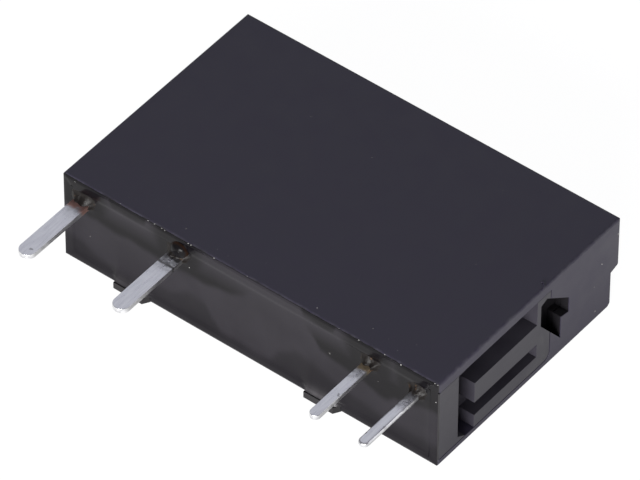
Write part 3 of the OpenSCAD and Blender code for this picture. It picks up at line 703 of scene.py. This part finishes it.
def resin_piece():
    """The poured resin: a closed block with an uneven open surface and a hole for each pin."""
    xs = set(spread(RESIN_LOW.x, RESIN_HIGH.x, RESIN_STEPS_X))
    ys = set(spread(RESIN_LOW.y, RESIN_HIGH.y, RESIN_STEPS_Y))
    for middle, half_x, half_y in PINS:
        xs |= {middle - half_x, middle + half_x}
        ys |= {-half_y, half_y}
    xs, ys = sorted(xs), sorted(ys)
    shape = bmesh.new()
    open_side = [[shape.verts.new((x, y, resin_level(x, y))) for y in ys] for x in xs]
    inner_side = [[shape.verts.new((x, y, RESIN_HIGH.z)) for y in ys] for x in xs]

    def filled(i, j):
        if not (0 <= i < len(xs) - 1 and 0 <= j < len(ys) - 1):
            return False
        x, y = (xs[i] + xs[i + 1]) / 2, (ys[j] + ys[j + 1]) / 2
        return all(distance_to_pin(x, y, pin) > 0 for pin in PINS)

    for i in range(len(xs) - 1):
        for j in range(len(ys) - 1):
            if not filled(i, j):
                continue
            ring = [(i, j), (i, j + 1), (i + 1, j + 1), (i + 1, j)]
            shape.faces.new([open_side[a][b] for a, b in ring])
            shape.faces.new([inner_side[a][b] for a, b in reversed(ring)])
            beyond = [(i - 1, j), (i, j + 1), (i + 1, j), (i, j - 1)]
            for (a, b), (c, d), outside in zip(ring, ring[1:] + ring[:1], beyond):
                if not filled(*outside):
                    shape.faces.new([open_side[c][d], open_side[a][b], inner_side[a][b], inner_side[c][d]])
    loose = [v for v in shape.verts if not v.link_faces]
    bmesh.ops.delete(shape, geom=loose, context="VERTS")
    mesh = plain_mesh(shape, "poured_resin", RESIN_SHARP)
    mark_tones(mesh)
    piece = finish_piece(link("poured_resin", mesh), FINISH["resin"])
    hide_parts("resin_seal")


# Resin film over the walls' lower edges: its thickness, how it starts, turns the corners and meets the pour
FILM = 0.03 * MM
FILM_START = 0.1 * MM
FILM_CORNER = 0.3 * MM
FILM_JOIN = 0.15 * MM
FILM_REACH = 0.35 * MM
FILM_SINK = 0.015 * MM
FILM_BACK = 0.05 * MM
FILM_SHARP = math.radians(60)
# Steps along its four sides, and the distances of its loops from the case's sides in millimetres
FILM_STEPS = [200, 48, 200, 48]
FILM_WIDTHS = [0.045, 0.06, 0.08, 0.12, 0.17, 0.23, 0.29, 0.35, 0.41, 0.47, 0.53, 0.6, 0.68, 0.77, 0.88]


def film_level(x, y, width):
    """Height of the film's open surface at a place and at its distance from the case's side."""
    inside = min(x - RESIN_LOW.x, RESIN_HIGH.x - x, y - RESIN_LOW.y, RESIN_HIGH.y - y)
    into = eased(inside / FILM_REACH)
    level = RIM_Z + (resin_level(x, y) - RIM_Z) * eased(inside / FILM_JOIN)
    by_end = min(x - COVER_LOW.x, COVER_HIGH.x - x)
    by_side = min(y - COVER_LOW.y, COVER_HIGH.y - y)
    sides = eased(0.5 + (by_end - by_side) / FILM_CORNER)
    thick = FILM * eased((width - FILM_WIDTHS[0] * MM) / FILM_START) * (1 - into) * (0.3 + 0.7 * sides)
    return level - thick + FILM_SINK * into


def rim_film():
    """A thin closed sheet of resin over the walls' edges around the underside."""
    shape = bmesh.new()
    outer, inner = [], []
    for width in FILM_WIDTHS:
        edge = width * MM
        low = (COVER_LOW.x + edge, COVER_LOW.y + edge)
        high = (COVER_HIGH.x - edge, COVER_HIGH.y - edge)
        corners = [low, (high[0], low[1]), high, (low[0], high[1])]
        loop = []
        for (x0, y0), (x1, y1), count in zip(corners, corners[1:] + corners[:1], FILM_STEPS):
            loop += [(x0 + (x1 - x0) * i / count, y0 + (y1 - y0) * i / count) for i in range(count)]
        levels = [film_level(x, y, edge) for x, y in loop]
        outer.append([shape.verts.new((x, y, z)) for (x, y), z in zip(loop, levels)])
        inner.append([shape.verts.new((x, y, z + FILM_BACK)) for (x, y), z in zip(loop, levels)])
    skin(shape, outer + inner[::-1])
    mesh = plain_mesh(shape, "resin_film", FILM_SHARP)
    mark_tones(mesh)
    finish_piece(link("resin_film", mesh), FINISH["resin"])


# Flux left around the pins: reach to the near wall, along the row and to the far side, and height on the pin
FLUX_NEAR = 0.5 * MM
FLUX_SIDE = 0.17 * MM
FLUX_FAR = 0.12 * MM
FLUX_HEIGHT = 0.26 * MM
FLUX_SINK = 0.06 * MM


def flux_collar(name, pin, seed):
    """A lumpy collar of flux on the resin around a pin, widest towards the near wall."""
    middle, half_x, half_y = pin
    around, steps = 72, 12
    shape = bmesh.new()
    rings = []
    for k in range(steps + 1):
        share = k / steps
        ring = []
        for i in range(around):
            angle = 2 * math.pi * i / around
            way = Vector((math.cos(angle), math.sin(angle), 0))
            start = Vector((middle + half_x * way.x, half_y * way.y, 0))
            side = FLUX_SIDE * abs(way.x)
            across = (FLUX_NEAR if way.y < 0 else FLUX_FAR) * abs(way.y)
            lump = noise.noise(Vector((way.x * 1.6, way.y * 1.6, seed)))
            reach = (side + across) * (1 + 0.45 * lump)
            spot = start + way * reach * share
            grain = noise.noise(Vector((spot.x, spot.y, seed * MM)) / (0.16 * MM))
            floor = min(resin_level(spot.x, max(spot.y, RESIN_LOW.y)), RESIN_LOW.z)
            if spot.y < RESIN_LOW.y:
                floor = RIM_Z
            rise = FLUX_HEIGHT * (1 + 0.5 * lump) * (1 - share) ** 2.4
            rise += 0.03 * MM * (0.6 + grain) * math.sin(math.pi * min(share * 1.15, 1))
            level = floor - rise if k < steps else floor + FLUX_SINK
            ring.append(shape.verts.new((spot.x, spot.y, level)))
        rings.append(ring)
    root = [shape.verts.new((v.co.x, v.co.y, RESIN_LOW.z + FLUX_SINK)) for v in rings[0]]
    skin(shape, [root] + rings)
    return finish_piece(link(name, plain_mesh(shape, name)), FLUX)


# The round bead of flux in front of the second pin: its middle and half sizes
BEAD_AT = Vector((-3.66, -0.5, 0.36)) * MM
BEAD_SIZE = Vector((0.46, 0.4, 0.34)) * MM


def flux_bead():
    """A glossy bead of flux against the second pin."""
    shape = bmesh.new()
    bmesh.ops.create_uvsphere(shape, u_segments=48, v_segments=32, radius=1.0)
    for point in shape.verts:
        lump = 1 + 0.08 * noise.noise(point.co * 1.4)
        point.co = BEAD_AT + point.co * BEAD_SIZE * lump
    finish_piece(link("flux_bead", plain_mesh(shape, "flux_bead")), FLUX_GLOSS)


def geometry_tree(name, inputs):
    """An empty geometry tree with named inputs, and its two end nodes."""
    tree = bpy.data.node_groups.new(name, "GeometryNodeTree")
    tree.interface.new_socket("Geometry", in_out="INPUT", socket_type="NodeSocketGeometry")
    for label, kind in inputs:
        tree.interface.new_socket(label, in_out="INPUT", socket_type=kind)
    tree.interface.new_socket("Geometry", in_out="OUTPUT", socket_type="NodeSocketGeometry")
    return tree, tree.nodes.new("NodeGroupInput"), tree.nodes.new("NodeGroupOutput")


def end_tree(tree, end, instances, material):
    """Ends a tree with real, smooth faces in one material."""
    real = add(tree, "GeometryNodeRealizeInstances", {0: instances})
    smooth = add(tree, "GeometryNodeSetShadeSmooth", {0: real.outputs[0]})
    done = add(tree, "GeometryNodeSetMaterial", {0: smooth.outputs[0], "Material": material})
    tree.links.new(done.outputs[0], end.inputs[0])


def grown(carrier, tree, values):
    """Runs a geometry tree on a carrier and keeps the result as the carrier's plain mesh."""
    modifier = carrier.modifiers.new(tree.name, "NODES")
    modifier.node_group = tree
    for item in tree.interface.items_tree:
        if item.in_out == "INPUT" and item.name in values:
            modifier[item.identifier] = values[item.name]
    mesh = evaluated_mesh(carrier, carrier.name)
    carrier.modifiers.remove(modifier)
    carrier.data = mesh
    return carrier


def winding_tree(material):
    """Turns of wire side by side along X."""
    inputs = [("Turns", "NodeSocketInt"), ("Pitch", NUMBER), ("Coil radius", NUMBER), ("Wire radius", NUMBER),
              ("First turn", VECTOR)]
    tree, start, end = geometry_tree("wire_turns", inputs)
    step = add(tree, "ShaderNodeCombineXYZ", {"X": start.outputs["Pitch"]})
    row = add(tree, "GeometryNodeMeshLine", {
        "Count": start.outputs["Turns"], "Start Location": start.outputs["First turn"],
        "Offset": step.outputs[0]}, mode="OFFSET")
    turn = add(tree, "GeometryNodeCurvePrimitiveCircle", {
        "Resolution": 64, "Radius": start.outputs["Coil radius"]})
    wire = add(tree, "GeometryNodeCurvePrimitiveCircle", {
        "Resolution": 8, "Radius": start.outputs["Wire radius"]})
    loop = add(tree, "GeometryNodeCurveToMesh", {0: turn.outputs[0], 1: wire.outputs[0]})
    upright = add(tree, "GeometryNodeTransform", {0: loop.outputs[0], "Rotation": (0, math.pi / 2, 0)})
    turns = add(tree, "GeometryNodeInstanceOnPoints", {0: row.outputs[0], "Instance": upright.outputs[0]})
    end_tree(tree, end, turns.outputs[0], material)
    return tree


# Radius of the winding's wire
WIRE_R = 0.06 * MM


def winding_piece():
    """The coil's outer layer of turns on a sleeve that stands for the layers below."""
    middle = (WINDING_LOW + WINDING_HIGH) / 2
    outer = (WINDING_HIGH.z - WINDING_LOW.z) / 2 - WIRE_R
    mesh = frame["nodes"]["coil_winding"].data
    inner = min(math.hypot(v.co.y - middle.y, v.co.z - middle.z) for v in mesh.vertices)
    turns = int((WINDING_HIGH.x - WINDING_LOW.x) / (2 * WIRE_R))
    piece = link("winding_turns", bpy.data.meshes.new("winding_carrier"))
    first = Vector((middle.x - (turns - 1) * WIRE_R, middle.y, middle.z))
    grown(piece, winding_tree(FINISH["winding"]), {
        "Turns": turns, "Pitch": 2 * WIRE_R, "Coil radius": outer, "Wire radius": WIRE_R,
        "First turn": first})
    shape = bmesh.new()
    shape.from_mesh(piece.data)
    left, right = WINDING_LOW.x, WINDING_HIGH.x
    profile = [(left, inner), (left, outer), (right, outer), (right, inner)]
    count = 96
    rings = []
    for x, radius in profile:
        turn = [2 * math.pi * i / count for i in range(count)]
        rings.append([shape.verts.new((x, middle.y + radius * math.cos(a), middle.z + radius * math.sin(a)))
                      for a in turn])
    skin(shape, rings)
    shape.to_mesh(piece.data)
    shape.free()
    piece.data.shade_smooth()
    piece.data.set_sharp_from_angle(angle=math.radians(60))
    finish_piece(piece, FINISH["winding"])
    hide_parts("coil_winding")


def wire_piece(name, points, radius):
    """A round closed rod along a line of points."""
    curve = bpy.data.curves.new(name, "CURVE")
    curve.dimensions = "3D"
    curve.bevel_depth = radius
    curve.bevel_resolution = 3
    curve.use_fill_caps = True
    line = curve.splines.new("POLY")
    line.points.add(len(points) - 1)
    for spot, place in zip(line.points, points):
        spot.co = (*place, 1)
    maker = link(name + "_line", curve)
    piece = link(name, evaluated_mesh(maker, name))
    bpy.data.objects.remove(maker)
    piece.data.shade_smooth()
    return piece


# Turns of a lead on its post, and the points in one turn
LEAD_TURNS = 3
LEAD_STEPS = 24


def lead_piece(node, name):
    """A winding's end: a straight run to its post, then tight turns around it."""
    low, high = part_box(node)
    post = high.x - high.y
    wrap = high.y - WIRE_R
    mesh = frame["nodes"][node].data
    run = [v.co for v in mesh.vertices if v.co.x < low.x + WIRE_R]
    run_y = sum(c.y for c in run) / len(run)
    run_z = sum(c.z for c in run) / len(run)
    points = [Vector((low.x, run_y, run_z)), Vector((post - wrap * 1.6, run_y, run_z))]
    for i in range(LEAD_TURNS * LEAD_STEPS + 1):
        angle = math.pi * 1.25 + 2 * math.pi * i / LEAD_STEPS
        share = i / (LEAD_TURNS * LEAD_STEPS)
        level = low.z + WIRE_R + (high.z - low.z - 2 * WIRE_R) * share
        points.append(Vector((post + wrap * math.cos(angle), wrap * math.sin(angle), level)))
    piece = wire_piece(name, points, WIRE_R)
    finish_piece(piece, FINISH["winding"])
    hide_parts(node)


def fleck_tree(material):
    """Small lumps scattered over a carrier's faces."""
    inputs = [("Flecks per area", NUMBER), ("Smallest", NUMBER), ("Largest", NUMBER),
              ("Seed", "NodeSocketInt")]
    tree, start, end = geometry_tree("scattered_flecks", inputs)
    share = add(tree, "GeometryNodeInputNamedAttribute", {"Name": "share"}, data_type="FLOAT")
    density = math_node(tree, "MULTIPLY", start.outputs["Flecks per area"], share.outputs[0])
    spots = add(tree, "GeometryNodeDistributePointsOnFaces", {
        0: start.outputs[0], "Density": density, "Seed": start.outputs["Seed"]})
    lump = add(tree, "GeometryNodeMeshIcoSphere", {"Radius": 1.0, "Subdivisions": 1})
    size = add(tree, "FunctionNodeRandomValue", {
        2: start.outputs["Smallest"], 3: start.outputs["Largest"], "Seed": start.outputs["Seed"]},
        data_type="FLOAT")
    turn = add(tree, "FunctionNodeRandomValue", {1: (6.28, 6.28, 6.28), "Seed": start.outputs["Seed"]},
               data_type="FLOAT_VECTOR")
    stretch = add(tree, "FunctionNodeRandomValue", {
        0: (0.5, 0.5, 0.4), 1: (1.6, 1.0, 0.8), "Seed": start.outputs["Seed"]}, data_type="FLOAT_VECTOR")
    scale = vectors(tree, "MULTIPLY", stretch.outputs[0], size.outputs[1])
    lumps = add(tree, "GeometryNodeInstanceOnPoints", {
        0: spots.outputs[0], "Instance": lump.outputs[0], "Rotation": turn.outputs[0], "Scale": scale})
    end_tree(tree, end, lumps.outputs[0], material)
    return tree


# Where dust lies: corners of a patch, and its share of the full density. The near face, the same face by the
# pins, the near wall's lower edge, and the end face
INSET = 0.25 * MM
NEAR_RIM = 0.45 * MM
DUSTY = [
    (Vector((COVER_LOW.x + INSET, COVER_LOW.y, RIM_Z + INSET)),
     Vector((COVER_HIGH.x - INSET, COVER_LOW.y, COVER_HIGH.z - INSET)), 0.006),
    (Vector((COVER_LOW.x + INSET, COVER_LOW.y, RIM_Z + 0.15 * MM)),
     Vector((COVER_HIGH.x - INSET, COVER_LOW.y, RIM_Z + 1.2 * MM)), 0.12),
    (Vector((COVER_LOW.x + INSET, COVER_LOW.y + 0.1 * MM, RIM_Z)),
     Vector((COVER_HIGH.x - INSET, COVER_LOW.y + NEAR_RIM, RIM_Z)), 1.0),
    (Vector((COVER_HIGH.x, COVER_LOW.y + 1 * MM, RIM_Z + 9 * MM)),
     Vector((COVER_HIGH.x, COVER_HIGH.y - INSET, COVER_HIGH.z - 1.2 * MM)), 0.06),
]
# Single specks that stand out: place and half size, in millimetres
SPECKS = [
    ((10, -0.29, 12.59), 0.026), ((10, 0.65, 11.52), 0.022), ((10, 3.17, 11.15), 0.024),
    ((-9.3, -0.98, 0.32), 0.026), ((-9.24, -0.85, 0.33), 0.018), ((-6.9, -1.12, 0.39), 0.016),
    ((-5.37, -1.11, 0.34), 0.02), ((-5.02, -1.12, 0.35), 0.022), ((-4.63, -1.11, 0.34), 0.022),
    ((-4.47, -1.1, 0.33), 0.018), ((-3.21, -1.11, 0.34), 0.018), ((-3.05, -1.11, 0.34), 0.024),
    ((-1.83, -1.11, 0.34), 0.016), ((-0.08, -1.12, 0.36), 0.02), ((4.77, -1.12, 0.36), 0.016),
    ((5.81, -1.11, 0.35), 0.022), ((7.15, -1.12, 0.36), 0.024), ((8.02, -1.1, 0.33), 0.03),
    ((9.77, -1.11, 0.34), 0.022), ((9.92, -1.11, 0.34), 0.018), ((9.85, -0.06, 0.33), 0.022),
    ((7.84, -1.12, 1.6), 0.016), ((6.74, -1.12, 1.15), 0.014), ((7.43, -1.12, 0.85), 0.015),
    ((-8.6, 1.9, 0.39), 0.018), ((-3.2, 0.35, 0.38), 0.022), ((6.81, 0.74, 0.39), 0.016),
]
FLECKS_PER_AREA = 5.0e6
FLECK_SMALLEST = 0.006 * MM
FLECK_LARGEST = 0.022 * MM


def dust_piece():
    """Flecks of dust on the case, most of them along its lower edge."""
    shape = bmesh.new()
    share = shape.faces.layers.float.new("share")
    for low, high, amount in DUSTY:
        if low.x == high.x:
            corners = [low, (low.x, high.y, low.z), high, (low.x, low.y, high.z)]
        elif low.y == high.y:
            corners = [low, (high.x, low.y, low.z), high, (low.x, low.y, high.z)]
        else:
            corners = [low, (low.x, high.y, low.z), high, (high.x, low.y, low.z)]
        face = shape.faces.new([shape.verts.new(c) for c in corners])
        face[share] = amount
    piece = link("dust_flecks", plain_mesh(shape, "dust_carrier"))
    grown(piece, fleck_tree(FLECK), {
        "Flecks per area": FLECKS_PER_AREA, "Smallest": FLECK_SMALLEST, "Largest": FLECK_LARGEST, "Seed": 11})
    finish_piece(piece, FLECK)


def speck_piece():
    """The single specks, each a small uneven lump."""
    shape = bmesh.new()
    for place, half in SPECKS:
        lump = bmesh.ops.create_icosphere(shape, subdivisions=2, radius=half * MM)["verts"]
        for point in lump:
            swell = 1 + 0.5 * noise.noise(point.co / (half * MM) + Vector(place))
            point.co = Vector(place) * MM + point.co * swell
    finish_piece(link("single_specks", plain_mesh(shape, "single_specks")), FLECK)


# The curl of flash on the near face's edge: its points in X, Y and Z, in millimetres
CURL = [(9.98, -1.1, 7.35), (9.93, -1.15, 7.5), (9.85, -1.19, 7.62), (9.76, -1.17, 7.68), (9.7, -1.13, 7.66)]
CURL_R = 0.03 * MM


def flash_curl():
    """A thin curl of moulding flash."""
    piece = wire_piece("flash_curl", [Vector(spot) * MM for spot in CURL], CURL_R)
    finish_piece(piece, FINISH["case"])


# The table: gap to the relay, half its side, share of real shading, glow, and the shadow painted near the
# relay for reflections: its reach, its darkest level and its level further out
FLOOR_GAP = 0.06 * MM
FLOOR_HALF = 0.6
FLOOR_SHADE = 0.15
FLOOR_GLOW = 1.12
SHADOW_REACH = 4 * MM
SHADOW_LEVEL = 0.5
MIRRORED_LEVEL = 0.94


def floor_material():
    """White table: bright to the camera with a faint shadow, and with a shadow painted near the relay where
    reflections see it.
    """
    material = bpy.data.materials.new("white_table")
    material.use_nodes = True
    tree = material.node_tree
    tree.nodes.clear()
    path = add(tree, "ShaderNodeLightPath").outputs
    behind = add(tree, "ShaderNodeNewGeometry").outputs["Backfacing"]
    white = add(tree, "ShaderNodeEmission", {"Color": rgb(1, 1, 1), "Strength": FLOOR_GLOW})
    matt = add(tree, "ShaderNodeBsdfDiffuse", {"Color": rgb(0.9, 0.9, 0.9)})
    seen = add(tree, "ShaderNodeMixShader", {0: FLOOR_SHADE, 1: white.outputs[0], 2: matt.outputs[0]})
    place = add(tree, "ShaderNodeTexCoord").outputs["Object"]
    spot = add(tree, "ShaderNodeSeparateXYZ", {"Vector": place}).outputs
    half = (COVER_HIGH - COVER_LOW) / 2
    middle = (COVER_HIGH + COVER_LOW) / 2
    aside = math_node(tree, "SUBTRACT", math_node(tree, "ABSOLUTE", math_node(
        tree, "SUBTRACT", spot["X"], middle.x)), half.x)
    ahead = math_node(tree, "SUBTRACT", math_node(tree, "ABSOLUTE", math_node(
        tree, "SUBTRACT", spot["Z"], middle.z)), half.z)
    gap = math_node(tree, "MAXIMUM", aside, ahead)
    # Painted shadow: glossy and transmission rays see the table darker near the relay's outline
    shade = ramp(tree, gap, 0.0, SHADOW_REACH, SHADOW_LEVEL, MIRRORED_LEVEL)
    mirrored_with_painted_shadow = add(tree, "ShaderNodeEmission", {"Color": rgb(1, 1, 1), "Strength": shade})
    not_seen = math_node(tree, "MAXIMUM", path["Is Glossy Ray"], path["Is Transmission Ray"])
    lit = add(tree, "ShaderNodeMixShader", {0: not_seen, 1: seen.outputs[0], 2: mirrored_with_painted_shadow.outputs[0]})
    open_rays = math_node(tree, "MAXIMUM", path["Is Diffuse Ray"], path["Is Shadow Ray"])
    through = math_node(tree, "MAXIMUM", open_rays, behind)
    clear = add(tree, "ShaderNodeBsdfTransparent")
    surface = add(tree, "ShaderNodeMixShader", {0: through, 1: lit.outputs[0], 2: clear.outputs[0]})
    add(tree, "ShaderNodeOutputMaterial", {"Surface": surface.outputs[0]})
    return material


def lay_floor():
    """The table that the relay lies on, under its far face."""
    y = COVER_HIGH.y + FLOOR_GAP
    corners = [(-1, -1), (1, -1), (1, 1), (-1, 1)]
    mesh = bpy.data.meshes.new("table")
    mesh.from_pydata([(a * FLOOR_HALF, y, b * FLOOR_HALF) for a, b in corners], [], [(0, 1, 2, 3)])
    mesh.materials.append(floor_material())
    floor = link("table", mesh)


# Softboxes: direction from the relay, sides and brightness
LIGHT_DISTANCE = 0.4
LIGHTS = [
    ("overhead", Vector((-0.44, -0.71, 0.55)), (0.36, 0.36), (0.42, 0.43, 0.48)),
    ("low key", Vector((0.3, -0.12, -0.94)), (0.3, 0.28), (16.5, 16.5, 16.5)),
    ("right rear", Vector((0.75, -0.4, 0.55)), (0.2, 0.2), (1.3, 1.3, 1.35)),
]
TABLE_UP = Vector((0, -1, 0))
WORLD_ABOVE = rgb(0.17, 0.17, 0.19)
WORLD_BELOW = rgb(0.85, 0.85, 0.85)


def light_scene():
    """Soft studio light, bright below from the white table and dimmer above."""
    for name, way, (wide, high), colour in LIGHTS:
        data = bpy.data.lights.new(name, "AREA")
        data.shape = "RECTANGLE"
        data.size = wide
        data.size_y = high
        level = max(colour)
        data.color = [c / level for c in colour]
        data.energy = level * math.pi * wide * high
        lamp = link(name, data)
        back = way.normalized()
        side = TABLE_UP.cross(back).normalized()
        turn = Matrix((side, back.cross(side), back)).transposed()
        lamp.matrix_world = Matrix.Translation(back * LIGHT_DISTANCE) @ turn.to_4x4()
    world = bpy.data.worlds.new("studio")
    bpy.context.scene.world = world
    world.use_nodes = True
    tree = world.node_tree
    tree.nodes.clear()
    way = add(tree, "ShaderNodeTexCoord").outputs["Generated"]
    across = add(tree, "ShaderNodeSeparateXYZ", {"Vector": way}).outputs["Y"]
    colour = mix(tree, ramp(tree, across, -0.15, 0.25), WORLD_ABOVE, WORLD_BELOW)
    seen = add(tree, "ShaderNodeLightPath").outputs["Is Camera Ray"]
    shown = mix(tree, seen, colour, rgb(1, 1, 1))
    glow = add(tree, "ShaderNodeBackground", {"Color": shown, "Strength": 1.0})
    add(tree, "ShaderNodeOutputWorld", {"Surface": glow.outputs[0]})


bpy.context.scene.view_settings.view_transform = "Standard"
place_camera()
light_scene()
lay_floor()
for node in ROUNDED:
    rounded_copy(node)
resin_piece()
rim_film()
for number, pin in enumerate(PINS, 1):
    flux_collar(f"flux_collar_{number}", pin, number * 3.1)
flux_bead()
winding_piece()
lead_piece("coil_lead_a", "lead_wrap_a")
lead_piece("coil_lead_b", "lead_wrap_b")
dust_piece()
speck_piece()
flash_curl()
